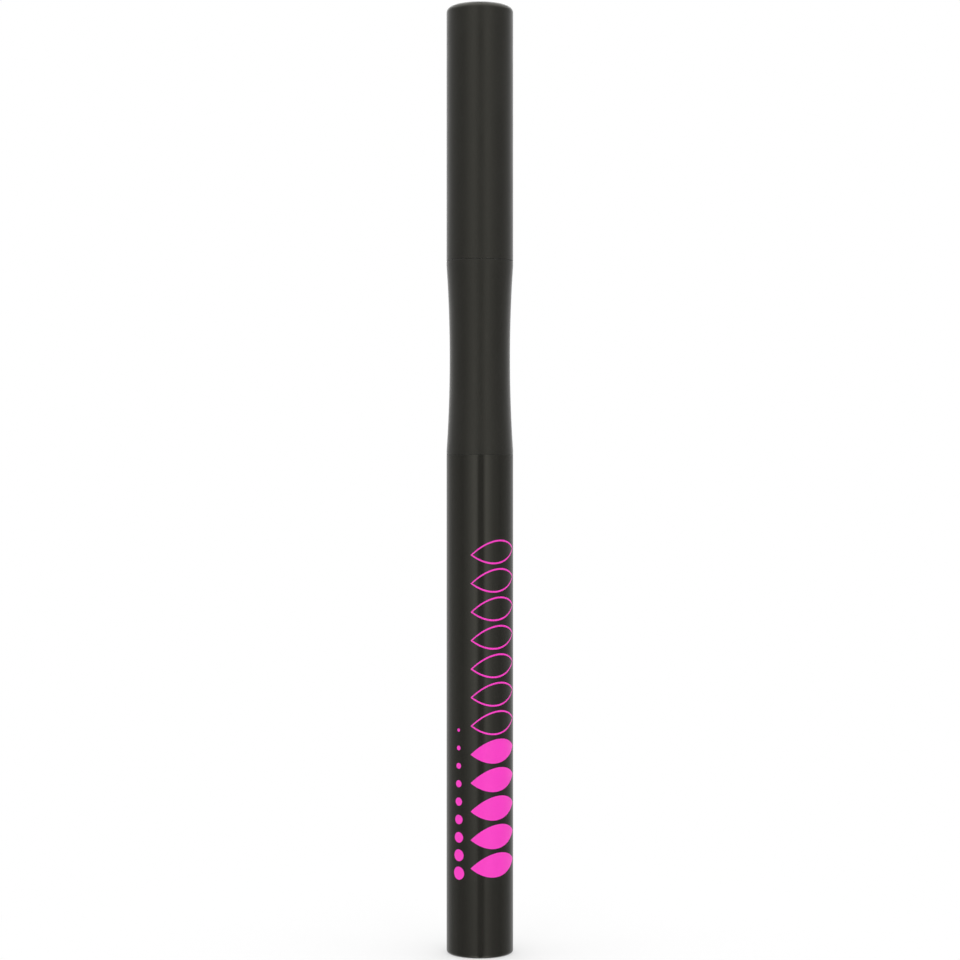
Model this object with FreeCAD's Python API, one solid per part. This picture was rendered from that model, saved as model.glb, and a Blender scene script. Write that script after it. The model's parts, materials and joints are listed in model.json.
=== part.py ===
import FreeCAD, Part
import math
import os

# Liquid eyeliner pen with a snap cap, a waisted grip and a finned ink collector.
# Millimetres. Z runs up the pen's axis, with the origin at the centre of the foot it stands on.

# Outside form
BODY_DIA = 9.8  # barrel, both ends of the grip, and cap
BARREL_LENGTH = 73.1
GRIP_LENGTH = 28.4
CAP_LENGTH = 37.65  # from the grip's end
WAIST_DEPTH = 0.46  # the grip is drawn in by this at its middle
GRIP_LAND = 0.6  # straight stretch at each end of the waist
CAP_TOP_ROUND = 0.9
CAP_CROWN = 0.2  # rise of the cap's top face
BASE_ROUND = 0.4
PARTING_ROUND = 0.1  # edges that meet at a parting line

# Fits, each a gap on the radius unless it says otherwise
PRESS_GAP = 0.02  # pieces pressed together
TANK_GAP = 0.05  # tank slid into the barrel
SNAP_GAP = 0.04  # cap over the neck's snap bead
SEAL_GAP = 0.04  # inner cap over the nose
ROD_GAP = 0.04  # feed rod in its bores
BRUSH_GAP = 0.03  # filaments in the nose
COMB_GAP = 0.08  # collector fins in the grip
BALL_GAP = 0.02  # mixing ball over the tank's floor
SEAT_GAP = 0.05  # shadow line between the cap's mouth and the grip, on the height
LEAD_IN = 0.25  # chamfer where one piece enters another

# Barrel
BARREL_WALL = 0.9
BARREL_FLOOR = 1.4
BARREL_FLOOR_CHAMFER = 0.4
FOOT_DISH_DIA = 5.0  # shallow dish that keeps the gate mark off the table
FOOT_DISH_DEPTH = 0.25

# Ink tank and what stirs it
TANK_WALL = 0.7
TANK_FLOOR = 0.8
TANK_FLOOR_CHAMFER = 0.5
BALL_DIA = 2.0
BALL_COUNT = 2
BALL_SIDE_GAP = 0.4  # between neighbouring balls

# Grip: spigot, bulkhead and neck
SPIGOT_LENGTH = 10.6
SPIGOT_WALL = 0.6
SPIGOT_BEAD_RISE = 0.1
SPIGOT_BEAD_WIDTH = 1.2
SPIGOT_BEAD_DROP = 2.4  # first bead below the barrel's mouth
SPIGOT_BEAD_PITCH = 4.2
SPIGOT_BEAD_COUNT = 2
BULKHEAD_DROP = 2.0  # end of the collector's chamber, below the cap's seat
NECK_LENGTH = 7.0
SNAP_BEAD_RISE = 0.15
SNAP_BEAD_WIDTH = 1.2
SNAP_BEAD_HEIGHT = 4.7  # bead above the cap's seat
NECK_VENT_COUNT = 3
NECK_VENT_WIDTH = 0.8
NECK_VENT_DEPTH = 0.12

# Brush and nose
BRUSH_DIA = 1.8
BRUSH_REACH = 7.5  # filaments out of the nose
BRUSH_TAPER = 0.28  # radius lost by the middle of the reach
BRUSH_POINT_DIA = 0.16
ROOT_STEP = 0.5  # fused root stands out from the filaments by this
ROOT_LENGTH = 1.6
FERRULE_LENGTH = 6.0
NOSE_TIP_WALL = 0.35
NOSE_STEM_WALL = 0.5
NOSE_SHOULDER = 0.5  # width of the seat on the neck's end
NOSE_LAND_LENGTH = 3.0  # the inner cap's lip seals on this
NOSE_TAPER_LENGTH = 8.0
NOSE_TAPER_SAG = 0.22  # the taper is drawn in by this at its middle
NOSE_EDGE_ROUND = 0.15
STEM_SETBACK = 1.0  # stem's end, inside the bulkhead
AIR_GROOVE_WIDTH = 0.6
AIR_GROOVE_DEPTH = 0.3

# Feed rod and collector
ROD_DIA = 1.6
ROD_POINT_LENGTH = 1.0
ROD_POINT_DIA = 0.5
ROD_OVERHANG = 1.0  # rod out of the nozzle, into the ink
GASKET_THICKNESS = 0.6
FLANGE_THICKNESS = 0.8
PLUG_LENGTH = 4.0
PLUG_SKIN = 0.7
PLUG_WEB = 1.2  # closed end of the hollow plug
NOZZLE_WALL = 0.5
NOZZLE_LENGTH = 3.5
COMB_CORE_WALL = 0.8
COMB_END_GAP = 0.4
FIN_COUNT = 24
FIN_THICKNESS = 0.45
FIN_GAP_GROWTH = 2.0  # widest gap, at the tank, over the finest, at the nose
INK_SLIT_WIDTH = 0.25
AIR_SLOT_WIDTH = 1.2

# Cap
CAP_WALL = 0.85
CAP_CEILING = 1.3
CAP_CORE_DEPTH = 1.0  # hollow above the inner cap
CAP_STOP_WIDTH = 0.75  # step that the inner cap is pressed up to
CAP_RIB_RISE = 0.1
CAP_RIB_WIDTH = 0.8
CAP_RIB_DROP = 1.2  # rib below the neck's bead
INNER_CAP_LIFT = 1.0  # inner cap's mouth above the neck
INNER_CAP_WALL = 0.6
INNER_CAP_TOP = 0.8
INNER_CAP_LIP = 1.5  # length of the lip that seals on the nose

# Heights, from the foot up
TANK_FLOOR_Z = BARREL_FLOOR + TANK_FLOOR
MOUTH_Z = BARREL_LENGTH
SPIGOT_END_Z = MOUTH_Z - SPIGOT_LENGTH
FLANGE_Z = SPIGOT_END_Z - FLANGE_THICKNESS
TANK_RIM_Z = FLANGE_Z - GASKET_THICKNESS
PLUG_END_Z = TANK_RIM_Z - PLUG_LENGTH
NOZZLE_END_Z = PLUG_END_Z - NOZZLE_LENGTH
ROD_END_Z = NOZZLE_END_Z - ROD_OVERHANG
SEAT_Z = MOUTH_Z + GRIP_LENGTH
BULKHEAD_Z = SEAT_Z - BULKHEAD_DROP
COMB_TOP_Z = BULKHEAD_Z - COMB_END_GAP
SNAP_BEAD_Z = SEAT_Z + SNAP_BEAD_HEIGHT
NECK_TOP_Z = SEAT_Z + NECK_LENGTH
STEM_END_Z = BULKHEAD_Z + STEM_SETBACK
LAND_TOP_Z = NECK_TOP_Z + NOSE_LAND_LENGTH
ROOT_BASE_Z = LAND_TOP_Z - ROOT_LENGTH
FERRULE_BASE_Z = ROOT_BASE_Z - FERRULE_LENGTH
NOSE_TIP_Z = LAND_TOP_Z + NOSE_TAPER_LENGTH
BRUSH_TIP_Z = NOSE_TIP_Z + BRUSH_REACH
CAP_TOP_Z = SEAT_Z + CAP_LENGTH
CAP_CEILING_Z = CAP_TOP_Z - CAP_CEILING
INNER_CAP_TOP_Z = CAP_CEILING_Z - CAP_CORE_DEPTH
INNER_CAP_MOUTH_Z = NECK_TOP_Z + INNER_CAP_LIFT

# Radii of the shells, from the outside in
BODY_R = BODY_DIA / 2
BARREL_BORE_R = BODY_R - BARREL_WALL
TANK_R = BARREL_BORE_R - TANK_GAP
TANK_BORE_R = TANK_R - TANK_WALL
PLUG_R = TANK_BORE_R - PRESS_GAP
SPIGOT_R = BARREL_BORE_R - PRESS_GAP - SPIGOT_BEAD_RISE
CHAMBER_R = SPIGOT_R - SPIGOT_WALL
COMB_R = CHAMBER_R - COMB_GAP
CAP_BORE_R = BODY_R - CAP_WALL
NECK_R = CAP_BORE_R - CAP_RIB_RISE - SNAP_GAP - SNAP_BEAD_RISE
INNER_CAP_R = CAP_BORE_R - PRESS_GAP
INNER_CAP_BORE_R = INNER_CAP_R - INNER_CAP_WALL

# Radii of the core, from the inside out
ROD_R = ROD_DIA / 2
ROD_BORE_R = ROD_R + ROD_GAP
NOZZLE_R = ROD_BORE_R + NOZZLE_WALL
COMB_CORE_R = ROD_BORE_R + COMB_CORE_WALL
BRUSH_R = BRUSH_DIA / 2
BRUSH_BORE_R = BRUSH_R + BRUSH_GAP
ROOT_R = BRUSH_R + ROOT_STEP
ROOT_BORE_R = ROOT_R + PRESS_GAP
STEM_R = ROOT_BORE_R + NOSE_STEM_WALL
SOCKET_R = STEM_R + PRESS_GAP
LAND_R = SOCKET_R + NOSE_SHOULDER
LIP_R = LAND_R + SEAL_GAP

# How far the moving pieces go: the cap until it is well clear of the brush, a ball up to the feed rod
CAP_TRAVEL = BRUSH_TIP_Z + BRUSH_REACH - SEAT_Z
BALL_REST_Z = TANK_FLOOR_Z + BALL_GAP + BALL_DIA / 2
BALL_TRAVEL = ROD_END_Z - BALL_GAP - BALL_DIA / 2 - BALL_REST_Z

ORIGIN = FreeCAD.Vector(0, 0, 0)
UP = FreeCAD.Vector(0, 0, 1)
SAME_POINT = 1e-6
EDGE_SHARE = 0.45  # most of an edge that one rounded or chamfered corner may take
HALF_ROUND = math.sqrt(0.5)  # where a quarter circle is halfway round, over its radius
ROUNDED = "rounded"
CHAMFERED = "chamfered"
THROUGH = "through"


def rounded(r, z, size):
    """A corner between two straight edges, rounded by an arc."""
    return (r, z, ROUNDED, size)


def chamfered(r, z, size):
    """A corner between two straight edges, cut off by size along each."""
    return (r, z, CHAMFERED, size)


def through(r, z):
    """A point that the edge between its two neighbours bends through, as an arc."""
    return (r, z, THROUGH)


def in_section(mark):
    """A mark's point, in the plane of the pen's axis."""
    return FreeCAD.Vector(mark[0], 0, mark[1])


def arc_edge(start, bend, end):
    """An arc, in spline form where its whole circle would cross the axis without being centred on it."""
    edge = Part.Arc(start, bend, end).toShape()
    if SAME_POINT < abs(edge.Curve.Center.x) < edge.Curve.Radius:
        return edge.Curve.toBSpline(edge.FirstParameter, edge.LastParameter).toShape()
    return edge


def eased_corner(before, at, after, kind, size):
    """The start and end of a rounded or chamfered corner, and the edge that joins them."""
    back, ahead = before - at, after - at
    half_turn = back.getAngle(ahead) / 2
    wanted = size if kind == CHAMFERED else size / math.tan(half_turn)
    reach = min(wanted, EDGE_SHARE * back.Length, EDGE_SHARE * ahead.Length)
    back.normalize()
    ahead.normalize()
    start, end = at + back * reach, at + ahead * reach
    if kind == CHAMFERED:
        return start, end, Part.LineSegment(start, end).toShape()
    inward = (back + ahead).normalize()
    centre = at + inward * (reach / math.cos(half_turn))
    middle = centre - inward * (reach * math.tan(half_turn))
    return start, end, arc_edge(start, middle, end)


def turned(marks):
    """A solid turned about Z. Each mark is a plain corner, (radius, height), or one of the kinds above."""
    corners, bends = [], {}
    for mark in marks:
        if THROUGH in mark:
            bends[len(corners) - 1] = in_section(mark)
        elif not corners or (in_section(corners[-1]) - in_section(mark)).Length > SAME_POINT:
            corners.append(mark)
    count = len(corners)
    points = [in_section(mark) for mark in corners]
    arrive, leave, edges = list(points), list(points), []
    for i, mark in enumerate(corners):
        if ROUNDED in mark or CHAMFERED in mark:
            before, after = points[i - 1], points[(i + 1) % count]
            arrive[i], leave[i], edge = eased_corner(before, points[i], after, *mark[2:])
            edges.append(edge)
    for i in range(count):
        start, end = leave[i], arrive[(i + 1) % count]
        if i in bends:
            edges.append(arc_edge(start, bends[i], end))
        else:
            edges.append(Part.LineSegment(start, end).toShape())
    wire = Part.Wire(Part.__sortEdges__(edges))
    solid = Part.Solid(Part.Face(wire).revolve(ORIGIN, UP, 360))
    return solid if solid.Volume > 0 else solid.reversed()


def ring_bump(r, z, width, rise):
    """Marks, from below, for a ring with sloping flanks. With a rise under 0 it stands inwards."""
    foot, top = width / 2, width / 4
    return [(r, z - foot), (r + rise, z - top), (r + rise, z + top), (r, z + foot)]


def dome_height(r, edge_r, rise):
    """Height at radius r, above the rim, of a dome that is part of a ball and rises at the axis by rise."""
    ball_r = (edge_r ** 2 + rise ** 2) / (2 * rise)
    return math.sqrt(ball_r ** 2 - r ** 2) - (ball_r - rise)


def block(inner_r, outer_r, width, low_z, high_z):
    """A straight block along +X, to cut a groove from the side."""
    corner = FreeCAD.Vector(inner_r, -width / 2, low_z)
    return Part.makeBox(outer_r - inner_r, width, high_z - low_z, corner)


def about_axis(shape, count):
    """Copies of a shape, evenly spaced round the pen's axis."""
    copies = []
    for i in range(count):
        copy = shape.copy()
        copy.rotate(ORIGIN, UP, 360 * i / count)
        copies.append(copy)
    return copies


def barrel():
    """Closed-end outer tube, which the pen stands on."""
    dish_r = FOOT_DISH_DIA / 2
    return turned([
        (0, FOOT_DISH_DEPTH),
        through(dish_r / 2, dome_height(dish_r / 2, dish_r, FOOT_DISH_DEPTH)),
        (dish_r, 0),
        rounded(BODY_R, 0, BASE_ROUND),
        rounded(BODY_R, MOUTH_Z, PARTING_ROUND),
        chamfered(BARREL_BORE_R, MOUTH_Z, LEAD_IN),
        chamfered(BARREL_BORE_R, BARREL_FLOOR, BARREL_FLOOR_CHAMFER),
        (0, BARREL_FLOOR),
    ])


def ink_tank():
    """Cup that holds the ink. It stands on the barrel's floor."""
    return turned([
        (0, BARREL_FLOOR),
        chamfered(TANK_R, BARREL_FLOOR, BARREL_FLOOR_CHAMFER),
        (TANK_R, TANK_RIM_Z),
        (TANK_BORE_R, TANK_RIM_Z),
        chamfered(TANK_BORE_R, TANK_FLOOR_Z, TANK_FLOOR_CHAMFER),
        (0, TANK_FLOOR_Z),
    ])


def tank_gasket():
    """Soft ring pressed between the tank's rim and the collector's flange."""
    bore_r = PLUG_R + PRESS_GAP
    edge = GASKET_THICKNESS / 4
    return turned([
        chamfered(bore_r, TANK_RIM_Z, edge),
        chamfered(TANK_R, TANK_RIM_Z, edge),
        chamfered(TANK_R, FLANGE_Z, edge),
        chamfered(bore_r, FLANGE_Z, edge),
    ])


def ball_spread():
    """Distance from the axis of each mixing ball, when they lie side by side round it."""
    if BALL_COUNT == 1:
        return 0.0
    return (BALL_DIA + BALL_SIDE_GAP) / (2 * math.sin(math.pi / BALL_COUNT))


def mixing_ball(number):
    """One of the steel balls that lie on the tank's floor."""
    turn = 2 * math.pi * number / BALL_COUNT
    x = ball_spread() * math.cos(turn)
    y = ball_spread() * math.sin(turn)
    return Part.makeSphere(BALL_DIA / 2, FreeCAD.Vector(x, y, BALL_REST_Z))


def fin_gaps():
    """The gaps between fins, in steady steps from the widest, at the tank, to the finest."""
    free = COMB_TOP_Z - SPIGOT_END_Z - FIN_COUNT * FIN_THICKNESS
    finest = 2 * free / (FIN_COUNT * (1 + FIN_GAP_GROWTH))
    step = finest * (FIN_GAP_GROWTH - 1) / (FIN_COUNT - 1)
    return [finest * FIN_GAP_GROWTH - step * i for i in range(FIN_COUNT)]


def collector_marks():
    """Outline of the collector before its slits are cut, from the nozzle up to the boss."""
    hollow_r = PLUG_R - PLUG_SKIN
    boss_r = ROOT_R
    marks = [
        (ROD_BORE_R, NOZZLE_END_Z),
        (NOZZLE_R, NOZZLE_END_Z),
        (NOZZLE_R, FLANGE_Z - PLUG_WEB),
        (hollow_r, FLANGE_Z - PLUG_WEB),
        (hollow_r, PLUG_END_Z),
        chamfered(PLUG_R, PLUG_END_Z, LEAD_IN),
        (PLUG_R, FLANGE_Z),
        (TANK_R, FLANGE_Z),
        (TANK_R, SPIGOT_END_Z),
        (COMB_CORE_R, SPIGOT_END_Z),
    ]
    fin_z = SPIGOT_END_Z
    for gap in fin_gaps():
        fin_z += gap
        marks += [(COMB_CORE_R, fin_z), (COMB_R, fin_z)]
        fin_z += FIN_THICKNESS
        marks += [(COMB_R, fin_z), (COMB_CORE_R, fin_z)]
    marks[-1] = (boss_r, COMB_TOP_Z)
    return marks + [(boss_r, FERRULE_BASE_Z), (ROD_BORE_R, FERRULE_BASE_Z)]


def collector():
    """Comb of fins on a bored core, with a plug and a nozzle for the tank and a boss for the nose."""
    feed_slit = block(0, COMB_CORE_R, INK_SLIT_WIDTH, NOZZLE_END_Z, COMB_TOP_Z)
    comb_slit = block(0, BODY_R, INK_SLIT_WIDTH, SPIGOT_END_Z, COMB_TOP_Z)
    air_slot = block(COMB_CORE_R, BODY_R, AIR_SLOT_WIDTH, SPIGOT_END_Z, COMB_TOP_Z)
    air_slot.rotate(ORIGIN, UP, 180)
    return turned(collector_marks()).cut([feed_slit, comb_slit, air_slot])


def feed_rod():
    """Fibre core from the ink to the brush, pointed where it enters the brush's root."""
    point_z = ROOT_BASE_Z + ROD_POINT_LENGTH
    return turned([
        (0, ROD_END_Z),
        chamfered(ROD_R, ROD_END_Z, LEAD_IN),
        (ROD_R, ROOT_BASE_Z),
        (ROD_POINT_DIA / 2, point_z),
        (0, point_z),
    ])


def grip_section():
    """Waisted grip with a spigot for the barrel, a chamber for the collector and a neck for the cap."""
    marks = [(CHAMBER_R, SPIGOT_END_Z), chamfered(SPIGOT_R, SPIGOT_END_Z, LEAD_IN)]
    for i in reversed(range(SPIGOT_BEAD_COUNT)):
        bead_z = MOUTH_Z - SPIGOT_BEAD_DROP - SPIGOT_BEAD_PITCH * i
        marks += ring_bump(SPIGOT_R, bead_z, SPIGOT_BEAD_WIDTH, SPIGOT_BEAD_RISE)
    marks += [
        (SPIGOT_R, MOUTH_Z),
        rounded(BODY_R, MOUTH_Z, PARTING_ROUND),
        (BODY_R, MOUTH_Z + GRIP_LAND),
        through(BODY_R - WAIST_DEPTH, (MOUTH_Z + SEAT_Z) / 2),
        (BODY_R, SEAT_Z - GRIP_LAND),
        rounded(BODY_R, SEAT_Z, PARTING_ROUND),
        (NECK_R, SEAT_Z),
    ]
    marks += ring_bump(NECK_R, SNAP_BEAD_Z, SNAP_BEAD_WIDTH, SNAP_BEAD_RISE)
    marks += [
        chamfered(NECK_R, NECK_TOP_Z, LEAD_IN),
        (SOCKET_R, NECK_TOP_Z),
        (SOCKET_R, BULKHEAD_Z),
        (CHAMBER_R, BULKHEAD_Z),
    ]
    vent_floor_r = NECK_R - NECK_VENT_DEPTH
    vent = block(vent_floor_r, BODY_R, NECK_VENT_WIDTH, SNAP_BEAD_Z - SNAP_BEAD_WIDTH, NECK_TOP_Z)
    return turned(marks).cut(about_axis(vent, NECK_VENT_COUNT))


def nose_cone():
    """Tip holder: a stem in the neck, a land for the inner cap and a drawn-in taper to the brush."""
    tip_r = BRUSH_BORE_R + NOSE_TIP_WALL
    lip_z = NOSE_TIP_Z - NOSE_EDGE_ROUND
    cone = turned([
        (ROOT_BORE_R, STEM_END_Z),
        chamfered(STEM_R, STEM_END_Z, LEAD_IN),
        (STEM_R, NECK_TOP_Z),
        rounded(LAND_R, NECK_TOP_Z, NOSE_EDGE_ROUND),
        (LAND_R, LAND_TOP_Z),
        through((LAND_R + tip_r) / 2 - NOSE_TAPER_SAG, (LAND_TOP_Z + lip_z) / 2),
        (tip_r, lip_z),
        rounded(tip_r, NOSE_TIP_Z, NOSE_EDGE_ROUND),
        (BRUSH_BORE_R, NOSE_TIP_Z),
        (BRUSH_BORE_R, LAND_TOP_Z),
        (ROOT_BORE_R, LAND_TOP_Z),
    ])
    groove_floor_r = STEM_R - AIR_GROOVE_DEPTH
    groove_top_z = NECK_TOP_Z + AIR_GROOVE_DEPTH
    return cone.cut(block(groove_floor_r, BODY_R, AIR_GROOVE_WIDTH, STEM_END_Z, groove_top_z))


def brush_ferrule():
    """Sleeve between the collector's boss and the brush's root."""
    return turned([
        (ROD_BORE_R, FERRULE_BASE_Z),
        chamfered(ROOT_R, FERRULE_BASE_Z, LEAD_IN),
        chamfered(ROOT_R, ROOT_BASE_Z, LEAD_IN),
        (ROD_BORE_R, ROOT_BASE_Z),
    ])


def brush_tip():
    """Filament bundle, with a fused root that is hollowed for the feed rod's point."""
    hollow_z = ROOT_BASE_Z + ROD_POINT_LENGTH + ROD_GAP
    tip_r = BRUSH_POINT_DIA / 2
    tip_z = BRUSH_TIP_Z - tip_r
    return turned([
        (0, hollow_z),
        (ROD_POINT_DIA / 2 + ROD_GAP, hollow_z),
        (ROD_BORE_R, ROOT_BASE_Z),
        chamfered(ROOT_R, ROOT_BASE_Z, LEAD_IN),
        (ROOT_R, LAND_TOP_Z),
        (BRUSH_R, LAND_TOP_Z),
        (BRUSH_R, NOSE_TIP_Z),
        through(BRUSH_R - BRUSH_TAPER, NOSE_TIP_Z + BRUSH_REACH / 2),
        (tip_r, tip_z),
        through(tip_r * HALF_ROUND, tip_z + tip_r * HALF_ROUND),
        (0, BRUSH_TIP_Z),
    ])


def cap_shell():
    """Outer cap, with a snap rib near its mouth and a hollow above the inner cap."""
    mouth_z = SEAT_Z + SEAT_GAP
    core_r = CAP_BORE_R - CAP_STOP_WIDTH
    crown_r = BODY_R - CAP_TOP_ROUND
    crown_z = CAP_TOP_Z - CAP_CROWN
    round_z = crown_z - CAP_TOP_ROUND
    marks = [
        rounded(BODY_R, mouth_z, PARTING_ROUND),
        (BODY_R, round_z),
        through(crown_r + CAP_TOP_ROUND * HALF_ROUND, round_z + CAP_TOP_ROUND * HALF_ROUND),
        (crown_r, crown_z),
        through(crown_r / 2, crown_z + dome_height(crown_r / 2, crown_r, CAP_CROWN)),
        (0, CAP_TOP_Z),
        (0, CAP_CEILING_Z),
        chamfered(core_r, CAP_CEILING_Z, LEAD_IN),
        (core_r, INNER_CAP_TOP_Z),
        (CAP_BORE_R, INNER_CAP_TOP_Z),
    ]
    rib = ring_bump(CAP_BORE_R, SNAP_BEAD_Z - CAP_RIB_DROP, CAP_RIB_WIDTH, -CAP_RIB_RISE)
    return turned(marks + rib[::-1] + [chamfered(CAP_BORE_R, mouth_z, LEAD_IN)])


def inner_cap():
    """Cup pressed into the cap over the brush, with a lip at its mouth that seals on the nose's land."""
    ceiling_z = INNER_CAP_TOP_Z - INNER_CAP_TOP
    lip_z = INNER_CAP_MOUTH_Z + INNER_CAP_LIP
    slope_z = lip_z + INNER_CAP_BORE_R - LIP_R
    return turned([
        chamfered(LIP_R, INNER_CAP_MOUTH_Z, LEAD_IN),
        chamfered(INNER_CAP_R, INNER_CAP_MOUTH_Z, LEAD_IN),
        chamfered(INNER_CAP_R, INNER_CAP_TOP_Z, LEAD_IN),
        (0, INNER_CAP_TOP_Z),
        (0, ceiling_z),
        chamfered(INNER_CAP_BORE_R, ceiling_z, LEAD_IN),
        (INNER_CAP_BORE_R, slope_z),
        (LIP_R, lip_z),
    ])


def pen():
    """Every piece of the pen by its name, closed and at rest."""
    pieces = {
        "barrel": barrel(),
        "ink_tank": ink_tank(),
        "tank_gasket": tank_gasket(),
        "collector": collector(),
        "feed_rod": feed_rod(),
        "grip_section": grip_section(),
        "nose_cone": nose_cone(),
        "brush_ferrule": brush_ferrule(),
        "brush_tip": brush_tip(),
        "cap_shell": cap_shell(),
        "inner_cap": inner_cap(),
    }
    for number in range(BALL_COUNT):
        pieces[f"mixing_ball_{number + 1}"] = mixing_ball(number)
    return pieces


os.makedirs("parts", exist_ok=True)
for name, shape in pen().items():
    shape.exportStep(f"parts/{name}.step")
    print(f"{name}: {shape.Volume:.1f} mm3, {len(shape.Solids)} solid, valid {shape.isValid()}")
print(f"cap travel {CAP_TRAVEL:.2f} mm, ball travel {BALL_TRAVEL:.2f} mm, height {CAP_TOP_Z:.2f} mm")
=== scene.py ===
import json
import math

import bmesh
import bpy
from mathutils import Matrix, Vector


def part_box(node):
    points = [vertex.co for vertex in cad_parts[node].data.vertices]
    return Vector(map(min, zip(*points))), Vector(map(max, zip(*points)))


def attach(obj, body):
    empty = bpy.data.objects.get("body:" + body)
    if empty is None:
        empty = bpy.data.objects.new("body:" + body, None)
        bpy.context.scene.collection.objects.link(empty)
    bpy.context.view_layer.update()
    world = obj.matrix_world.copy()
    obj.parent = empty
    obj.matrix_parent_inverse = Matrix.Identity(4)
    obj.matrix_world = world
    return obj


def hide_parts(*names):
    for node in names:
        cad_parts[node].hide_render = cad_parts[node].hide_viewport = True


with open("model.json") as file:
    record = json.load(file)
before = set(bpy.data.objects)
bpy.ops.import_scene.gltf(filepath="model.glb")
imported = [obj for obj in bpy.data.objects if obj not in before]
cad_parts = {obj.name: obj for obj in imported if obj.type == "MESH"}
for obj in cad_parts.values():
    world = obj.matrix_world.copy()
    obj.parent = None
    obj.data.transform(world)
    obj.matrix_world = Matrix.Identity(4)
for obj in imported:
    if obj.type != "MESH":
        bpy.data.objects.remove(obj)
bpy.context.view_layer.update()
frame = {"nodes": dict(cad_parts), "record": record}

# Looks of a liquid eyeliner pen, built round its solids.
# Metres. Z runs up the pen, and the photograph's camera looks along +Y.
MM = 0.001

# Heights and radius, read from the solids
MOUTH_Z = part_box("barrel")[1].z
SPIGOT_END_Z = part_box("grip_section")[0].z
NECK_TOP_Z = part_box("grip_section")[1].z
CAP_MOUTH_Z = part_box("cap_shell")[0].z
CAP_TOP_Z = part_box("cap_shell")[1].z
HEAD_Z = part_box("inner_cap")[1].z
STEM_END_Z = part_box("nose_cone")[0].z
NOSE_TIP_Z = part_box("nose_cone")[1].z
ROOT_BASE_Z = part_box("brush_tip")[0].z
BRUSH_TIP_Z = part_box("brush_tip")[1].z
BODY_R = min(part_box("barrel")[1].x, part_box("barrel")[1].y)

# Outside form
SEAT_GAP = 0.05 * MM  # shadow line between the cap's mouth and the grip
SEAT_Z = CAP_MOUTH_Z - SEAT_GAP
WAIST_DEPTH = 0.46 * MM
GRIP_LAND = 0.6 * MM
CAP_TOP_ROUND = 0.9 * MM
CAP_CROWN = 0.2 * MM
BASE_ROUND = 0.4 * MM
PARTING_ROUND = 0.025 * MM
UNDERCUT_ROUND = 0.1 * MM  # lower edge of the cap and of the grip, which shades its parting line
EDGE_ROUND = 0.15 * MM
LEAD_IN = 0.25 * MM

# Barrel
BARREL_BORE_R = 4.0 * MM
BARREL_FLOOR = 1.4 * MM
FOOT_DISH_R = 2.5 * MM
FOOT_DISH_DEPTH = 0.25 * MM
GATE_R = 0.6 * MM  # mark left in the dish where the plastic came in
GATE_RISE = 0.1 * MM

# Grip
SPIGOT_R = 3.88 * MM
CHAMBER_R = 3.28 * MM
BULKHEAD_DROP = 2.0 * MM
NECK_R = 3.76 * MM
SNAP_BEAD_Z = SEAT_Z + 4.7 * MM
SNAP_BEAD_WIDTH = 1.2 * MM
SNAP_BEAD_RISE = 0.15 * MM
VENT_COUNT = 3
VENT_Z = SNAP_BEAD_Z - SNAP_BEAD_WIDTH  # lower end of the vents
VENT_WIDTH = 0.8 * MM
VENT_DEPTH = 0.12 * MM

# Nose and brush
STEM_R = 1.92 * MM
SOCKET_R = 1.94 * MM
LAND_R = 2.44 * MM
LAND_LENGTH = 3.0 * MM
TAPER_SAG = 0.22 * MM
NOSE_TIP_R = 1.28 * MM
BRUSH_BORE_R = 0.93 * MM
BRUSH_R = 0.9 * MM
ROOT_R = 1.4 * MM
ROOT_BORE_R = 1.42 * MM
ROOT_HOLLOW_R = 0.84 * MM  # mouth of the hollow for the feed rod's point
ROOT_HOLLOW_END_R = 0.29 * MM
ROOT_HOLLOW_DEPTH = 1.04 * MM
FILAMENT_COUNT = 240
FILAMENT_R = 0.05 * MM
FILAMENT_POINT_R = 0.012 * MM
FILAMENT_SIDES = 5
FILAMENT_STEPS = 10
FILAMENT_CROWDING = 1.6  # power by which a filament's rings lie closer towards its point
FILAMENT_TAPER = 3  # power by which its thickness falls towards its point
RAGGED = 1.1 * MM  # how far the outer filaments stop short of the tip, at most
RAGGED_LEAST = 0.35  # and at least, as a share of that
BUNDLE_CONE = 0.35  # straight share of the bundle's taper, with the rest bowed
GOLDEN_SHARE = 0.618  # steps of this share and angle never line up
GOLDEN_ANGLE = math.pi * (3 - math.sqrt(5))

# Cap
CAP_BORE_R = 4.05 * MM
CAP_CEILING = 1.3 * MM
CAP_CORE_R = 3.3 * MM
CAP_RIB_DROP = 1.2 * MM
CAP_RIB_WIDTH = 0.8 * MM
CAP_RIB_RISE = 0.1 * MM

# Print: a column of almonds, filled below and outlined above, and a column of dots beside it
INK_FILM = 0.005 * MM
PRINT_LOW_Z = 11.3 * MM
PRINT_HIGH_Z = 60.9 * MM
ALMOND_START = math.radians(-16)
ALMOND_END = math.radians(78)
ALMOND_COUNT = 12
FILLED_ALMONDS = 5
ALMOND_HEIGHT = 3.5 * MM
ALMOND_LIFT = 0.9 * MM  # rise of the right-hand point over the left-hand one
ALMOND_LINE = 0.25 * MM
ALMOND_STEPS = 48
DOT_ANGLE = math.radians(-39)
DOT_COUNT = 9
DOT_R = 0.95 * MM  # lowest dot
DOT_LAST_R = 0.25 * MM
DOT_PITCH = 2.6 * MM
DOT_STEPS = 24

# Meshes
SEGMENTS = 192
ROUND_STEPS = 6
CURVE_STEPS = 40
SHOULDER_STEPS = 16
ROUND_SHARE = 0.45  # share of an edge that the rounding at one end may take
HOLD = 0.12 * MM  # a point this far past a rounding keeps the long faces flat
HOLD_SHARE = 0.49  # share of an edge within which that point stays
SHARP_ANGLE = math.radians(40)
ON_AXIS = 1e-9

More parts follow.
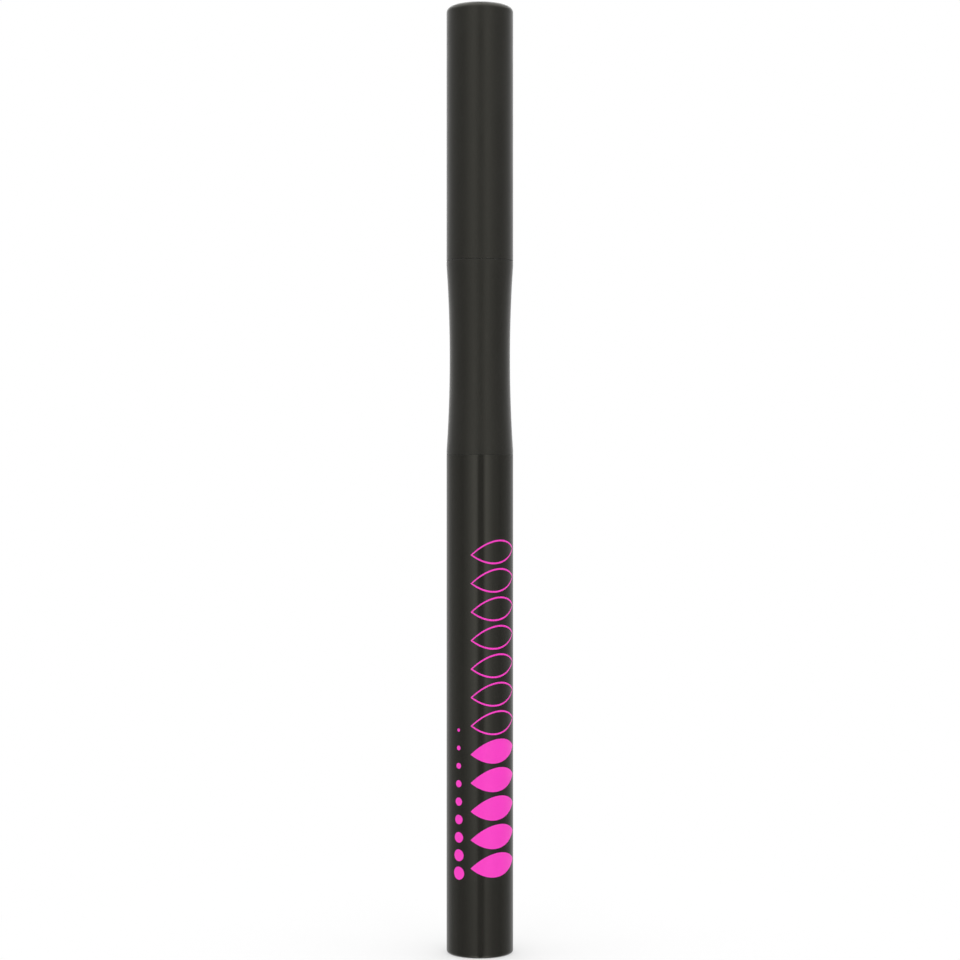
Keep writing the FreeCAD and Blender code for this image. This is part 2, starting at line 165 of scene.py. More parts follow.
# Finishes
MICRON = 1e-6
NOISE_MIDDLE = (0.3, 0.7)  # most of a noise lies between these
WARM_GLOSS = (1.0, 0.98, 0.85, 1)  # the black plastics' gloss is a little warm

# Moulded plastic and rubber
MOULDED = {  # colour, roughness, the grain's size and depth, light let in, and bloom
    "satin_black": ((0.0092, 0.0088, 0.0076), 0.36, 0.07 * MM, 1.2 * MICRON, 0.0, 0.40),
    "nose_black": ((0.016, 0.0155, 0.0145), 0.34, 0.09 * MM, 1.5 * MICRON, 0.0, 0.0),
    "natural_pe": ((0.80, 0.80, 0.77), 0.42, 0.5 * MM, 3.0 * MICRON, 0.4, 0.0),
    "collector_white": ((0.78, 0.77, 0.72), 0.52, 0.12 * MM, 3.0 * MICRON, 0.15, 0.0),
    "acetal_white": ((0.84, 0.84, 0.82), 0.33, 0.2 * MM, 2.0 * MICRON, 0.2, 0.0),
    "seal_rubber": ((0.20, 0.20, 0.21), 0.70, 0.10 * MM, 5.0 * MICRON, 0.0, 0.0),
}
SMUDGE_SIZE = 5 * MM
SMUDGED = (0.35, 0.65)  # from here to here in the noise a smudge comes up
CLEAN_ROUGH = -0.03  # added to the roughness off the smudges
SMUDGE_ROUGH = 0.04  # and on them
MOTTLE_SIZE = 0.4 * MM
MOTTLE_TONES = (0.85, 1.15)
RUBBED = (0.53, 0.62)  # from here to here in pointiness an edge is rubbed smooth
RUBBED_TONE = 1.5
RUBBED_SMOOTH = -0.08
LIGHT_DEPTH = 0.5 * MM  # how far light goes in below the surface
BLOOM_ROUGH = 0.3  # spread of the pale bloom at a low angle

# Glossy plastic
GLOSS_BLACK = (0.0100, 0.0096, 0.0082)
GLOSS_TONE_SIZE = 2 * MM
GLOSS_TONES = (0.9, 1.1)
GLOSS_ROUGH = (0.11, 0.16)
GLOSS_SMUDGE_SIZE = 7 * MM
GLOSS_SMUDGED = (0.4, 0.7)
HAIRLINE_WIDTH = 0.05 * MM
HAIRLINE_STRETCH = 160
HAIRLINE_SHOWN = (0.66, 0.74)  # from here to here in the noise a hairline comes up
HAIRLINE_ROUGH = 0.08
HAIRLINE_DEPTH = 0.4 * MICRON
WAVE_SIZE = 1.5 * MM
WAVE_DEPTH = 0.8 * MICRON

# Ink of the print
PRINT_PINK = (0.88, 0.028, 0.51)
INK_SPOT_SIZE = 0.25 * MM
INK_TONES = (0.94, 1.0)
INK_ROUGH = (0.28, 0.38)
SCREEN_SIZE = 0.08 * MM  # texture that the printing screen leaves
SCREEN_DEPTH = 1.5 * MICRON

# Fibre and filaments
STRANDS = {  # colour, roughness and the strands' width
    "fibre": ((0.62, 0.59, 0.52), 0.75, 0.06 * MM),
    "filament_black": ((0.012, 0.011, 0.011), 0.36, 0.03 * MM),
}
STRAND_STRETCH = 60
STRAND_TONES = (0.7, 1.3)
STRAND_ROUGH = 0.08  # roughness of a strand is off by up to this

# Steel of the balls
BALL_STEEL = (0.62, 0.62, 0.63)
STEEL_SPOT_SIZE = 0.6 * MM
STEEL_TONES = (0.9, 1.0)
GRINDING_SIZE = 0.06 * MM
GRINDING_DETAIL = 6.0
GRINDING_ROUGH = (0.12, 0.24)
GRINDING_DEPTH = 0.6 * MICRON

# Camera and studio
CAMERA_DISTANCE = 0.33
CAMERA_ASIDE = 0.02 * MM
CAMERA_DROP = 0.165 * MM  # camera below half the pen's height
FRAME_WIDTH = 141.21 * MM  # width of the view at the pen's axis
SENSOR_MM = 36.0
GLOW_LEAST = 0.28
GLOW = [  # degrees round from the camera, and how bright the studio is there
    (-180, 0.40), (-168, 0.42), (-158, 0.60), (-146, 0.66), (-112, 0.46), (-62, 0.30), (-45, 0.52),
    (-18, 1.14), (-11, 1.00), (-4, GLOW_LEAST), (11, GLOW_LEAST), (18, 0.98), (23, 1.20), (46, 0.56),
    (75, 0.29), (112, 0.46), (146, 0.66), (158, 0.60), (168, 0.42), (180, 0.40),
]
GLOW_FADE = (-0.2, -0.08)  # from here to here in steepness the glow comes up to its full level
GLOW_BELOW = 0.4  # share of the glow over the least that is left below the fade
GLOW_BEHIND = (-0.4, 0.0)  # from here to here towards the back the fade goes away
GLOW_LOW = (-0.4, -0.28)  # further down, where only a raised camera sees it, the glow comes up again
GLOW_LOW_GAIN = 2.0  # to this many times what stands over the least
BACKDROP_RISE = (0.15, 0.35)  # from here to here in steepness reflections go over to the white backdrop
BACKDROP_DEPTH = (0.6, 0.9)  # and from here to here towards the back
LAMP_SIZE = 0.9
LAMP_DISTANCE = 1.0
LAMPS = [  # degrees round from the camera, degrees up, and watts
    (-42, 64, 2.6), (42, 64, 2.6), (-100, 55, 3.0), (100, 55, 3.0), (180, 50, 4.6),
]
FLOOR_R = 0.6
FLOOR_ROUGH = 0.9
FLOOR_FADE = (0.0, 0.08)  # from here to here the floor goes over into the white backdrop
FLOOR_WHITE = 0.4  # share of the backdrop's white at the pen's foot
FLOOR_TONE = (0.95, 0.95, 0.95)  # for the light that the floor gives back
FLOOR_SEEN = (0.67, 0.67, 0.67)  # for the camera: the lit floor is just white, and a shadow shows


def rounded_corner(before, at, after, size):
    """Points of a rounded corner, with one held point on the straight edge at each end."""
    back, ahead = before - at, after - at
    half_turn = back.angle(ahead) / 2
    shorter = min(back.length, ahead.length)
    reach = min(size / math.tan(half_turn), ROUND_SHARE * shorter)
    radius = reach * math.tan(half_turn)
    inward = (back.normalized() + ahead.normalized()).normalized()
    centre = at + inward * (reach / math.cos(half_turn))
    first = at + back.normalized() * reach - centre
    last = at + ahead.normalized() * reach - centre
    sweep = first.angle(last)
    points = [at + back.normalized() * min(reach + HOLD, HOLD_SHARE * back.length)]
    for i in range(ROUND_STEPS + 1):
        share = i / ROUND_STEPS
        arm = first * math.sin((1 - share) * sweep) + last * math.sin(share * sweep)
        points.append(centre + arm.normalized() * radius)
    return points + [at + ahead.normalized() * min(reach + HOLD, HOLD_SHARE * ahead.length)]


def outline(marks):
    """Points of a closed outline from marks (radius, height), or (radius, height, rounding)."""
    corners = [Vector(mark[:2]) for mark in marks]
    points = []
    for i, mark in enumerate(marks):
        if len(mark) == 3:
            after = corners[(i + 1) % len(corners)]
            points += rounded_corner(corners[i - 1], corners[i], after, mark[2])
        else:
            points.append(corners[i])
    return points


def bowed(start, end, sag):
    """Marks of a curve between two marks that stands in from the straight line by sag at its middle."""
    marks = []
    for i in range(CURVE_STEPS + 1):
        share = i / CURVE_STEPS
        r = start[0] + (end[0] - start[0]) * share - 4 * sag * share * (1 - share)
        marks.append((r, start[1] + (end[1] - start[1]) * share))
    return marks


def shoulder(r, z, size):
    """Marks of a quarter round from a wall of radius r over to a top at height z."""
    marks = [(r, z - size - HOLD)]
    for i in range(SHOULDER_STEPS + 1):
        turn = math.pi / 2 * i / SHOULDER_STEPS
        marks.append((r - size + size * math.cos(turn), z - size + size * math.sin(turn)))
    return marks


def bump_ring(r, z, width, rise):
    """Marks, from below, for a ring with rounded sloping flanks on a wall."""
    foot, top = width / 2, width / 4
    soften = abs(rise)
    return [(r, z - foot), (r + rise, z - top, soften), (r + rise, z + top, soften), (r, z + foot)]


def band(ring, following):
    """Faces between two rings of a turned mesh, either of which may be one point on the axis."""
    faces = []
    for i in range(SEGMENTS if len(ring) + len(following) > 2 else 0):
        j = (i + 1) % SEGMENTS
        low = [ring[i % len(ring)], ring[j % len(ring)]]
        high = [following[j % len(following)], following[i % len(following)]]
        faces.append(list(dict.fromkeys(low + high)))
    return faces


def turned(name, marks, shape=None):
    """A closed mesh turned about Z. The shape function may change a point's radius by angle."""
    verts, rings = [], []
    for r, z in outline(marks):
        count = SEGMENTS if r > ON_AXIS else 1
        rings.append(range(len(verts), len(verts) + count))
        for i in range(count):
            angle = 2 * math.pi * i / SEGMENTS
            radius = shape(r, z, angle) if shape else r
            verts.append((radius * math.cos(angle), radius * math.sin(angle), z))
    faces = []
    for ring, following in zip(rings, rings[1:] + rings[:1]):
        faces += band(ring, following)
    return piece_from(name, verts, faces)


def put_in_order(bm):
    """Sorts points and faces by place, because solidify leaves them in another order each run."""
    for i, vert in enumerate(sorted(bm.verts, key=lambda vert: tuple(vert.co))):
        vert.index = i
    bm.verts.sort()
    for i, face in enumerate(sorted(bm.faces, key=lambda face: tuple(face.calc_center_median()))):
        face.index = i
    bm.faces.sort()


def piece_from(name, verts, faces, film=0.0):
    """A smooth-shaded object from plain mesh data, given a thickness if it is a film."""
    bm = bmesh.new()
    made = [bm.verts.new(vert) for vert in verts]
    for face in faces:
        bm.faces.new([made[i] for i in face])
    if film:
        bmesh.ops.remove_doubles(bm, verts=bm.verts, dist=film / 100)
        bmesh.ops.solidify(bm, geom=bm.faces, thickness=film)
        put_in_order(bm)
    bmesh.ops.recalc_face_normals(bm, faces=bm.faces)
    mesh = bpy.data.meshes.new(name)
    bm.to_mesh(mesh)
    bm.free()
    mesh.shade_smooth()
    mesh.set_sharp_from_angle(angle=SHARP_ANGLE)
    piece = bpy.data.objects.new(name, mesh)
    bpy.context.scene.collection.objects.link(piece)
    return piece


def barrel():
    """Glossy closed-end tube, whose wall leaves room for the ink's thickness."""
    wall_r = BODY_R - INK_FILM
    gate_z = FOOT_DISH_DEPTH - GATE_RISE
    return turned("barrel_shell", [
        (0, gate_z),
        (GATE_R, gate_z, GATE_RISE / 2),
        (GATE_R + GATE_RISE, FOOT_DISH_DEPTH, GATE_RISE / 2),
        (FOOT_DISH_R - FOOT_DISH_DEPTH, FOOT_DISH_DEPTH, FOOT_DISH_DEPTH / 2),
        (FOOT_DISH_R, 0, FOOT_DISH_DEPTH / 2),
        (wall_r, 0, BASE_ROUND),
        (wall_r, MOUTH_Z, PARTING_ROUND),
        (BARREL_BORE_R, MOUTH_Z, LEAD_IN),
        (BARREL_BORE_R, BARREL_FLOOR, EDGE_ROUND),
        (0, BARREL_FLOOR),
    ])


def vented(r, z, angle):
    """Radius of the neck, with its air vents cut from below the snap bead up to the end."""
    turn = 2 * math.pi / VENT_COUNT
    aside = abs((angle + turn / 2) % turn - turn / 2)
    if z > VENT_Z + HOLD / 2 and aside * NECK_R < VENT_WIDTH / 2:
        return min(r, NECK_R - VENT_DEPTH)
    return r


def grip():
    """Waisted grip, with the neck that the cap snaps on and the spigot in the barrel."""
    waist = bowed((BODY_R, MOUTH_Z + GRIP_LAND), (BODY_R, SEAT_Z - GRIP_LAND), WAIST_DEPTH)
    marks = [
        (CHAMBER_R, SPIGOT_END_Z),
        (SPIGOT_R, SPIGOT_END_Z, LEAD_IN),
        (SPIGOT_R, MOUTH_Z),
        (BODY_R, MOUTH_Z, UNDERCUT_ROUND),
        *waist,
        (BODY_R, SEAT_Z, PARTING_ROUND),
        (NECK_R, SEAT_Z, UNDERCUT_ROUND),
        (NECK_R, VENT_Z - HOLD),
        (NECK_R, VENT_Z),
        (NECK_R, VENT_Z + HOLD),
        *bump_ring(NECK_R, SNAP_BEAD_Z, SNAP_BEAD_WIDTH, SNAP_BEAD_RISE),
        (NECK_R, NECK_TOP_Z, LEAD_IN),
        (SOCKET_R, NECK_TOP_Z),
        (SOCKET_R, SEAT_Z - BULKHEAD_DROP),
        (CHAMBER_R, SEAT_Z - BULKHEAD_DROP),
    ]
    return turned("grip_shell", marks, vented)


def nose():
    """Tip holder with a sealing land and a drawn-in taper to the brush."""
    land_z = NECK_TOP_Z + LAND_LENGTH
    taper = bowed((LAND_R, land_z), (NOSE_TIP_R, NOSE_TIP_Z - EDGE_ROUND), TAPER_SAG)
    return turned("nose_shell", [
        (ROOT_BORE_R, STEM_END_Z),
        (STEM_R, STEM_END_Z, LEAD_IN),
        (STEM_R, NECK_TOP_Z),
        (LAND_R, NECK_TOP_Z, EDGE_ROUND),
        *taper,
        (NOSE_TIP_R, NOSE_TIP_Z, EDGE_ROUND),
        (BRUSH_BORE_R, NOSE_TIP_Z, EDGE_ROUND),
        (BRUSH_BORE_R, land_z),
        (ROOT_BORE_R, land_z),
    ])


def cap():
    """Satin outer cap, hollow, with a snap rib near its mouth."""
    ceiling_z = CAP_TOP_Z - CAP_CEILING
    edge_z = CAP_TOP_Z - CAP_CROWN
    rib_z = SNAP_BEAD_Z - CAP_RIB_DROP
    spread = BODY_R - CAP_TOP_ROUND
    flat = bowed((spread, edge_z), (0, edge_z), 0)
    crown = [(r, z + CAP_CROWN * (1 - (r / spread) ** 2)) for r, z in flat]
    return turned("cap_outer", [
        (BODY_R, CAP_MOUTH_Z, UNDERCUT_ROUND),
        *shoulder(BODY_R, edge_z, CAP_TOP_ROUND),
        *crown[1:],
        (0, ceiling_z),
        (CAP_CORE_R, ceiling_z, LEAD_IN),
        (CAP_CORE_R, HEAD_Z),
        (CAP_BORE_R, HEAD_Z),
        *bump_ring(CAP_BORE_R, rib_z, CAP_RIB_WIDTH, -CAP_RIB_RISE)[::-1],
        (CAP_BORE_R, CAP_MOUTH_Z, LEAD_IN),
    ])


def brush_root():
    """Fused root of the brush, under its filaments, hollowed for the feed rod's point."""
    land_z = NECK_TOP_Z + LAND_LENGTH
    hollow_z = ROOT_BASE_Z + ROOT_HOLLOW_DEPTH
    return turned("brush_root", [
        (0, hollow_z),
        (ROOT_HOLLOW_END_R, hollow_z),
        (ROOT_HOLLOW_R, ROOT_BASE_Z),
        (ROOT_R, ROOT_BASE_Z, LEAD_IN),
        (ROOT_R, land_z, EDGE_ROUND),
        (0, land_z),
    ])


def bundle_radius(z):
    """Radius of the whole bundle at a height: straight in the nose, then drawn to a point."""
    share = max(0.0, (z - NOSE_TIP_Z) / (BRUSH_TIP_Z - NOSE_TIP_Z))
    return (BRUSH_R - FILAMENT_R) * (1 - BUNDLE_CONE * share - (1 - BUNDLE_CONE) * share ** 2)


def filament(number):
    """Rings of one tapered filament. They spread over the bundle like seeds in a sunflower."""
    place = math.sqrt((number + 0.5) / FILAMENT_COUNT)
    turn = number * GOLDEN_ANGLE
    low_z = NECK_TOP_Z + LAND_LENGTH - EDGE_ROUND
    varied = RAGGED_LEAST + (1 - RAGGED_LEAST) * (number * GOLDEN_SHARE % 1)
    high_z = BRUSH_TIP_Z - FILAMENT_POINT_R - RAGGED * place * varied
    rings = []
    for i in range(FILAMENT_STEPS + 1):
        share = 1 - (1 - i / FILAMENT_STEPS) ** FILAMENT_CROWDING
        z = low_z + (high_z - low_z) * share
        out = place * bundle_radius(z)
        thick = FILAMENT_R + (FILAMENT_POINT_R - FILAMENT_R) * share ** FILAMENT_TAPER
        rings.append((out * math.cos(turn), out * math.sin(turn), z, thick))
    return rings


def brush():
    """The bundle of filaments, as one piece."""
    verts, faces = [], []
    for number in range(FILAMENT_COUNT):
        base = len(verts)
        for x, y, z, thick in filament(number):
            for side in range(FILAMENT_SIDES):
                angle = 2 * math.pi * side / FILAMENT_SIDES
                verts.append((x + thick * math.cos(angle), y + thick * math.sin(angle), z))
        for i in range(FILAMENT_STEPS):
            for side in range(FILAMENT_SIDES):
                a = base + i * FILAMENT_SIDES + side
                b = base + i * FILAMENT_SIDES + (side + 1) % FILAMENT_SIDES
                faces.append((a, b, b + FILAMENT_SIDES, a + FILAMENT_SIDES))
        faces.append(range(base, base + FILAMENT_SIDES))
        faces.append(range(len(verts) - FILAMENT_SIDES, len(verts)))
    return piece_from("brush_filaments", verts, faces)


def almond_strips(base_z, filled):
    """Strips of one almond, pointed at both ends and a little aslant, whole or as an outline."""
    whole, upper, lower = [], [], []
    for i in range(ALMOND_STEPS + 1):
        share = i / ALMOND_STEPS
        angle = ALMOND_START + (ALMOND_END - ALMOND_START) * share
        middle = base_z + ALMOND_HEIGHT / 2 + ALMOND_LIFT * share
        half = 2 * ALMOND_HEIGHT * share * (1 - share)
        hollow = max(0.0, half - ALMOND_LINE)
        whole.append((angle, middle - half, middle + half))
        upper.append((angle, middle + hollow, middle + half))
        lower.append((angle, middle - half, middle - hollow))
    return [whole] if filled else [upper, lower]


def dot_strips():
    """A column of round dots, smaller and smaller upwards."""
    strips = []
    for number in range(DOT_COUNT):
        r = DOT_R + (DOT_LAST_R - DOT_R) * number / (DOT_COUNT - 1)
        z = PRINT_LOW_Z + DOT_R + DOT_PITCH * number
        strip = []
        for i in range(DOT_STEPS + 1):
            turn = math.pi * (i / DOT_STEPS - 0.5)
            half = r * math.cos(turn)
            strip.append((DOT_ANGLE + r * math.sin(turn) / BODY_R, z - half, z + half))
        strips.append(strip)
    return strips


def print_marks():
    """The print, as a thin film of ink on the barrel."""
    pitch = (PRINT_HIGH_Z - PRINT_LOW_Z) / ALMOND_COUNT
    strips = dot_strips()
    for number in range(ALMOND_COUNT):
        strips += almond_strips(PRINT_LOW_Z + pitch * number, number < FILLED_ALMONDS)
    verts, faces = [], []
    for strip in strips:
        base = len(verts)
        for angle, low, high in strip:
            x, y = BODY_R * math.sin(angle), -BODY_R * math.cos(angle)
            verts += [(x, y, low), (x, y, high)]
        for i in range(len(strip) - 1):
            a = base + 2 * i
            faces.append((a, a + 2, a + 3, a + 1))
    return piece_from("print_film", verts, faces, film=INK_FILM)


def add_node(tree, kind, inputs, **settings):
    """A shader node with its settings, and its inputs as plain values or other nodes' outputs."""
    made = tree.nodes.new(kind)
    for key, value in settings.items():
        setattr(made, key, value)
    for key, value in inputs.items():
        if isinstance(value, bpy.types.NodeSocket):
            tree.links.new(value, made.inputs[key])
        else:
            made.inputs[key].default_value = value
    return made


def maths(tree, operation, first, second):
    """One step of arithmetic."""
    return add_node(tree, "ShaderNodeMath", {0: first, 1: second}, operation=operation).outputs[0]


def noise(tree, size, stretch=1.0, detail=3.0):
    """Noise on the piece, with spots of a size in metres, drawn out along Z by stretch."""
    coords = add_node(tree, "ShaderNodeTexCoord", {}).outputs["Object"]
    scale = (1 / size, 1 / size, 1 / (size * stretch))
    mapped = add_node(tree, "ShaderNodeMapping", {"Vector": coords, "Scale": scale}).outputs[0]
    inputs = {"Vector": mapped, "Scale": 1.0, "Detail": detail}
    return add_node(tree, "ShaderNodeTexNoise", inputs).outputs[0]


def ranged(tree, value, before, after):
    """A value moved from one range to another, and kept inside it."""
    inputs = {"Value": value, 1: before[0], 2: before[1], 3: after[0], 4: after[1]}
    return add_node(tree, "ShaderNodeMapRange", inputs).outputs[0]


def tinted(tree, share, first, second):
    """A colour between two others."""
    mix = add_node(tree, "ShaderNodeMix", {0: share, 6: (*first, 1), 7: (*second, 1)}, data_type="RGBA")
    return mix.outputs[2]


def relief(tree, height, depth, under=None):
    """A bump of a depth in metres, on top of another if one is given."""
    inputs = {"Height": height, "Distance": depth, "Strength": 1.0}
    if under:
        inputs["Normal"] = under
    return add_node(tree, "ShaderNodeBump", inputs).outputs[0]


def new_finish(slot):
    """An empty material for a record slot, with its node tree and shader."""
    made = bpy.data.materials.new(f"{slot}_finish")
    made.use_nodes = True
    return made, made.node_tree, made.node_tree.nodes["Principled BSDF"]


def scaled(colour, factor):
    """A colour made lighter or darker."""
    return tuple(factor * channel for channel in colour)


def mottled(tree, pattern, colour, tones):
    """A colour that goes over a pattern from one of its tones to another."""
    return tinted(tree, pattern, scaled(colour, tones[0]), scaled(colour, tones[1]))


def wire(tree, shader, colour, roughness, normal):
    """Links what differs over the surface to the shader."""
    tree.links.new(colour, shader.inputs["Base Color"])
    tree.links.new(roughness, shader.inputs["Roughness"])
    tree.links.new(normal, shader.inputs["Normal"])


def moulded(slot, colour, rough, grain, depth, let_in, bloom):
    """Moulded plastic or rubber: an even grain from the mould, with smudges and edges rubbed smooth."""
    material, tree, shader = new_finish(slot)
    dulled = (rough + CLEAN_ROUGH, rough + SMUDGE_ROUGH)
    smudge = ranged(tree, noise(tree, SMUDGE_SIZE), SMUDGED, dulled)
    edge = add_node(tree, "ShaderNodeNewGeometry", {}).outputs["Pointiness"]
    rubbed = ranged(tree, edge, RUBBED, (0, 1))
    tone = mottled(tree, noise(tree, MOTTLE_SIZE), colour, MOTTLE_TONES)
    mixed = {0: rubbed, 6: tone, 7: (*scaled(colour, RUBBED_TONE), 1)}
    base = add_node(tree, "ShaderNodeMix", mixed, data_type="RGBA").outputs[2]
    roughness = maths(tree, "ADD", smudge, maths(tree, "MULTIPLY", rubbed, RUBBED_SMOOTH))
    wire(tree, shader, base, roughness, relief(tree, noise(tree, grain), depth))
    shader.inputs["Subsurface Weight"].default_value = let_in
    shader.inputs["Subsurface Scale"].default_value = LIGHT_DEPTH
    if bloom:
        shader.inputs["Specular Tint"].default_value = WARM_GLOSS
        shader.inputs["Sheen Weight"].default_value = bloom
        shader.inputs["Sheen Roughness"].default_value = BLOOM_ROUGH
    return material


def polished(slot, colour):
    """Glossy plastic: a slow wave in the surface, faint lengthwise hairlines and a few smudges."""
    material, tree, shader = new_finish(slot)
    smudge = ranged(tree, noise(tree, GLOSS_SMUDGE_SIZE), GLOSS_SMUDGED, GLOSS_ROUGH)
    hairline = noise(tree, HAIRLINE_WIDTH, stretch=HAIRLINE_STRETCH)
    hairline = ranged(tree, hairline, HAIRLINE_SHOWN, (0, 1))
    tone = mottled(tree, noise(tree, GLOSS_TONE_SIZE), colour, GLOSS_TONES)
    roughness = maths(tree, "ADD", smudge, maths(tree, "MULTIPLY", hairline, HAIRLINE_ROUGH))
    wave = relief(tree, noise(tree, WAVE_SIZE, detail=1.0), WAVE_DEPTH)
    wire(tree, shader, tone, roughness, relief(tree, hairline, -HAIRLINE_DEPTH, wave))
    shader.inputs["Specular Tint"].default_value = WARM_GLOSS
    return material


def ink(slot, colour):
    """Screen-printed ink: a film that is slightly uneven, with the screen's faint texture."""
    material, tree, shader = new_finish(slot)
    cover = noise(tree, INK_SPOT_SIZE)
    roughness = ranged(tree, cover, NOISE_MIDDLE, INK_ROUGH)
    screen = relief(tree, noise(tree, SCREEN_SIZE), SCREEN_DEPTH)
    wire(tree, shader, mottled(tree, cover, colour, INK_TONES), roughness, screen)
    return material


def strands(slot, colour, rough, width):
    """Bundled fibre: fine lengthwise strands that differ in tone and gloss."""
    material, tree, shader = new_finish(slot)
    strand = noise(tree, width, stretch=STRAND_STRETCH)
    roughness = ranged(tree, strand, NOISE_MIDDLE, (rough - STRAND_ROUGH, rough + STRAND_ROUGH))
    tone = mottled(tree, strand, colour, STRAND_TONES)
    wire(tree, shader, tone, roughness, relief(tree, strand, width / 4))
    return material


def ground_steel(slot, colour):
    """Ground and polished steel, with fine marks that run every way."""
    material, tree, shader = new_finish(slot)
    marks = noise(tree, GRINDING_SIZE, detail=GRINDING_DETAIL)
    roughness = ranged(tree, marks, NOISE_MIDDLE, GRINDING_ROUGH)
    tone = mottled(tree, noise(tree, STEEL_SPOT_SIZE), colour, STEEL_TONES)
    wire(tree, shader, tone, roughness, relief(tree, marks, GRINDING_DEPTH))
    shader.inputs["Metallic"].default_value = 1.0
    return material


def finishes():
    """Every material of the pen by its record slot."""
    looks = {slot: moulded(slot, *values) for slot, values in MOULDED.items()}
    looks.update({slot: strands(slot, *values) for slot, values in STRANDS.items()})
    looks["gloss_black"] = polished("gloss_black", GLOSS_BLACK)
    looks["print_pink"] = ink("print_pink", PRINT_PINK)
    looks["ball_steel"] = ground_steel("ball_steel", BALL_STEEL)
    return looks


def dress(piece, body, slot, looks, replaced=None):
    """Gives a piece its finish and its body, and hides the solid that it takes the place of."""
    piece.data.materials.clear()
    piece.data.materials.append(looks[slot])
    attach(piece, body)
    if replaced:
        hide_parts(replaced)


def dress_solids(looks):
    """Gives each solid that is still shown the finish of its own record slot."""
    for part in frame["record"]["subparts"]:
        for holder in frame["nodes"][part["node"]].material_slots:
            holder.material = looks[part["material_slot"]]


def build_pen():
    """Dresses the solids, and sets the finer pieces in place of the ones that show."""
    looks = finishes()
    dress_solids(looks)
    dress(barrel(), "pen_body", "gloss_black", looks, "barrel")
    dress(print_marks(), "pen_body", "print_pink", looks)
    dress(grip(), "pen_body", "satin_black", looks, "grip_section")
    dress(nose(), "pen_body", "nose_black", looks, "nose_cone")
    dress(brush_root(), "pen_body", "filament_black", looks)
    dress(brush(), "pen_body", "filament_black", looks, "brush_tip")
    dress(cap(), "cap", "satin_black", looks, "cap_shell")


def background_rays(tree):
    """1 for rays from the camera, and 1 for rays that a glossy or clear surface sends on."""
    path = add_node(tree, "ShaderNodeLightPath", {}).outputs
    bounced = maths(tree, "MAXIMUM", path["Is Glossy Ray"], path["Is Transmission Ray"])
    return path["Is Camera Ray"], bounced


def studio():
    """World: a white backdrop, and two broad glows beside the camera with a dark gap between them."""
    world = bpy.data.worlds.new("studio")
    bpy.context.scene.world = world
    world.use_nodes = True
    tree = world.node_tree
    towards = add_node(tree, "ShaderNodeTexCoord", {}).outputs["Generated"]
    x, y, z = add_node(tree, "ShaderNodeSeparateXYZ", {0: towards}).outputs
    round_from_camera = maths(tree, "ARCTAN2", x, maths(tree, "MULTIPLY", y, -1.0))
    place = ranged(tree, round_from_camera, (-math.pi, math.pi), (0, 1))
    ramp = add_node(tree, "ShaderNodeValToRGB", {0: place})
    stops = ramp.color_ramp.elements
    for degrees, level in GLOW[1:-1]:
        stops.new((degrees + 180) / 360).color = (level, level, level, 1)
    for stop, (_, level) in ((stops[0], GLOW[0]), (stops[-1], GLOW[-1])):
        stop.color = (level, level, level, 1)
    strong = maths(tree, "SUBTRACT", ramp.outputs[0], GLOW_LEAST)
    faded = ranged(tree, z, GLOW_FADE, (GLOW_BELOW, 1))
    kept = maths(tree, "MAXIMUM", faded, ranged(tree, y, GLOW_BEHIND, (0, 1)))
    kept = maths(tree, "MAXIMUM", kept, ranged(tree, z, GLOW_LOW, (GLOW_LOW_GAIN, 0)))
    glow = maths(tree, "ADD", maths(tree, "MULTIPLY", strong, kept), GLOW_LEAST)
    seen, bounced = background_rays(tree)
    above = ranged(tree, z, BACKDROP_RISE, (0, 1))
    behind = maths(tree, "MULTIPLY", ranged(tree, y, BACKDROP_DEPTH, (0, 1)), above)
    white = maths(tree, "MAXIMUM", seen, maths(tree, "MULTIPLY", behind, bounced))
    strength = add_node(tree, "ShaderNodeMix", {0: white, 2: glow, 3: 1.0}).outputs[0]
    tree.links.new(strength, tree.nodes["Background"].inputs["Strength"])
    tree.nodes["Background"].inputs["Color"].default_value = (1, 1, 1, 1)


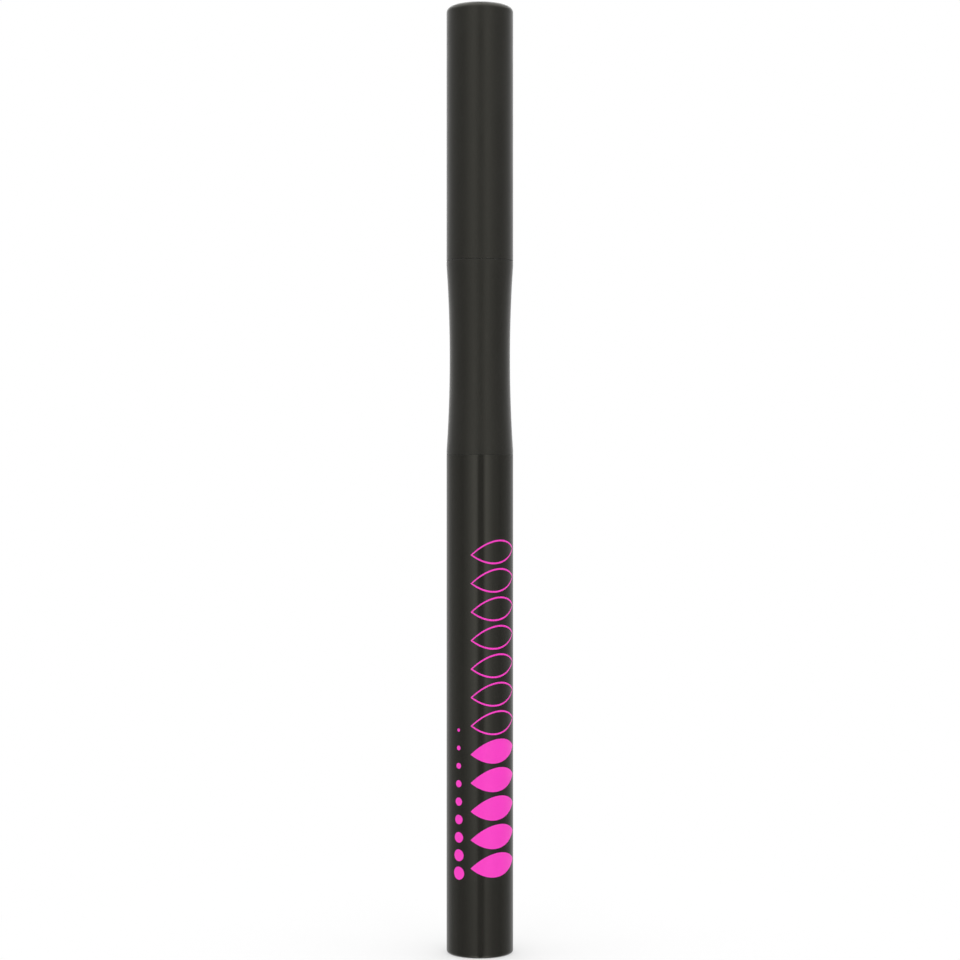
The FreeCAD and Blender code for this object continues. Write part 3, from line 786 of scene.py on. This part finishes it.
def lamps():
    """Large soft lamps, all above the pen: two in front, two at the sides and one behind."""
    middle = Vector((0, 0, CAP_TOP_Z / 2))
    for degrees, degrees_up, watts in LAMPS:
        azimuth, elevation = math.radians(degrees), math.radians(degrees_up)
        level = math.cos(elevation)
        aim = Vector((math.sin(azimuth) * level, -math.cos(azimuth) * level, math.sin(elevation)))
        light = bpy.data.lights.new("softbox", "AREA")
        light.energy = watts
        light.size = LAMP_SIZE
        lamp = bpy.data.objects.new("softbox", light)
        lamp.location = middle + aim * LAMP_DISTANCE
        lamp.rotation_euler = aim.to_track_quat("Z", "Y").to_euler()
        lamp.visible_camera = False
        bpy.context.scene.collection.objects.link(lamp)


def floor():
    """Pale floor that takes the pen's shadow, and goes over into the white backdrop away from it."""
    bm = bmesh.new()
    bmesh.ops.create_circle(bm, cap_ends=True, segments=SEGMENTS, radius=FLOOR_R)
    mesh = bpy.data.meshes.new("floor")
    bm.to_mesh(mesh)
    bm.free()
    disc = bpy.data.objects.new("floor", mesh)
    bpy.context.scene.collection.objects.link(disc)
    material, tree, shader = new_finish("floor")
    seen, _ = background_rays(tree)
    tree.links.new(tinted(tree, seen, FLOOR_TONE, FLOOR_SEEN), shader.inputs["Base Color"])
    shader.inputs["Roughness"].default_value = FLOOR_ROUGH
    coords = add_node(tree, "ShaderNodeTexCoord", {}).outputs["Object"]
    away = add_node(tree, "ShaderNodeVectorMath", {0: coords}, operation="LENGTH").outputs["Value"]
    share = maths(tree, "MULTIPLY", ranged(tree, away, FLOOR_FADE, (FLOOR_WHITE, 1)), seen)
    white = add_node(tree, "ShaderNodeEmission", {"Strength": 1.0}).outputs[0]
    mixed = add_node(tree, "ShaderNodeMixShader", {0: share, 1: shader.outputs[0], 2: white}).outputs[0]
    tree.links.new(mixed, tree.nodes["Material Output"].inputs["Surface"])
    mesh.materials.append(material)
    disc.visible_glossy = False  # the pen's gloss shows the studio's glow, also from below


def camera():
    """Level camera at half the pen's height, a little way off, with the pen filling the frame."""
    lens = bpy.data.cameras.new("camera")
    lens.sensor_width = SENSOR_MM
    lens.lens = SENSOR_MM * CAMERA_DISTANCE / FRAME_WIDTH
    placed = bpy.data.objects.new("camera", lens)
    placed.location = (CAMERA_ASIDE, -CAMERA_DISTANCE, CAP_TOP_Z / 2 - CAMERA_DROP)
    placed.rotation_euler = (math.pi / 2, 0, 0)
    bpy.context.scene.collection.objects.link(placed)
    bpy.context.scene.camera = placed


build_pen()
studio()
lamps()
floor()
camera()
bpy.context.scene.view_settings.view_transform = "Standard"
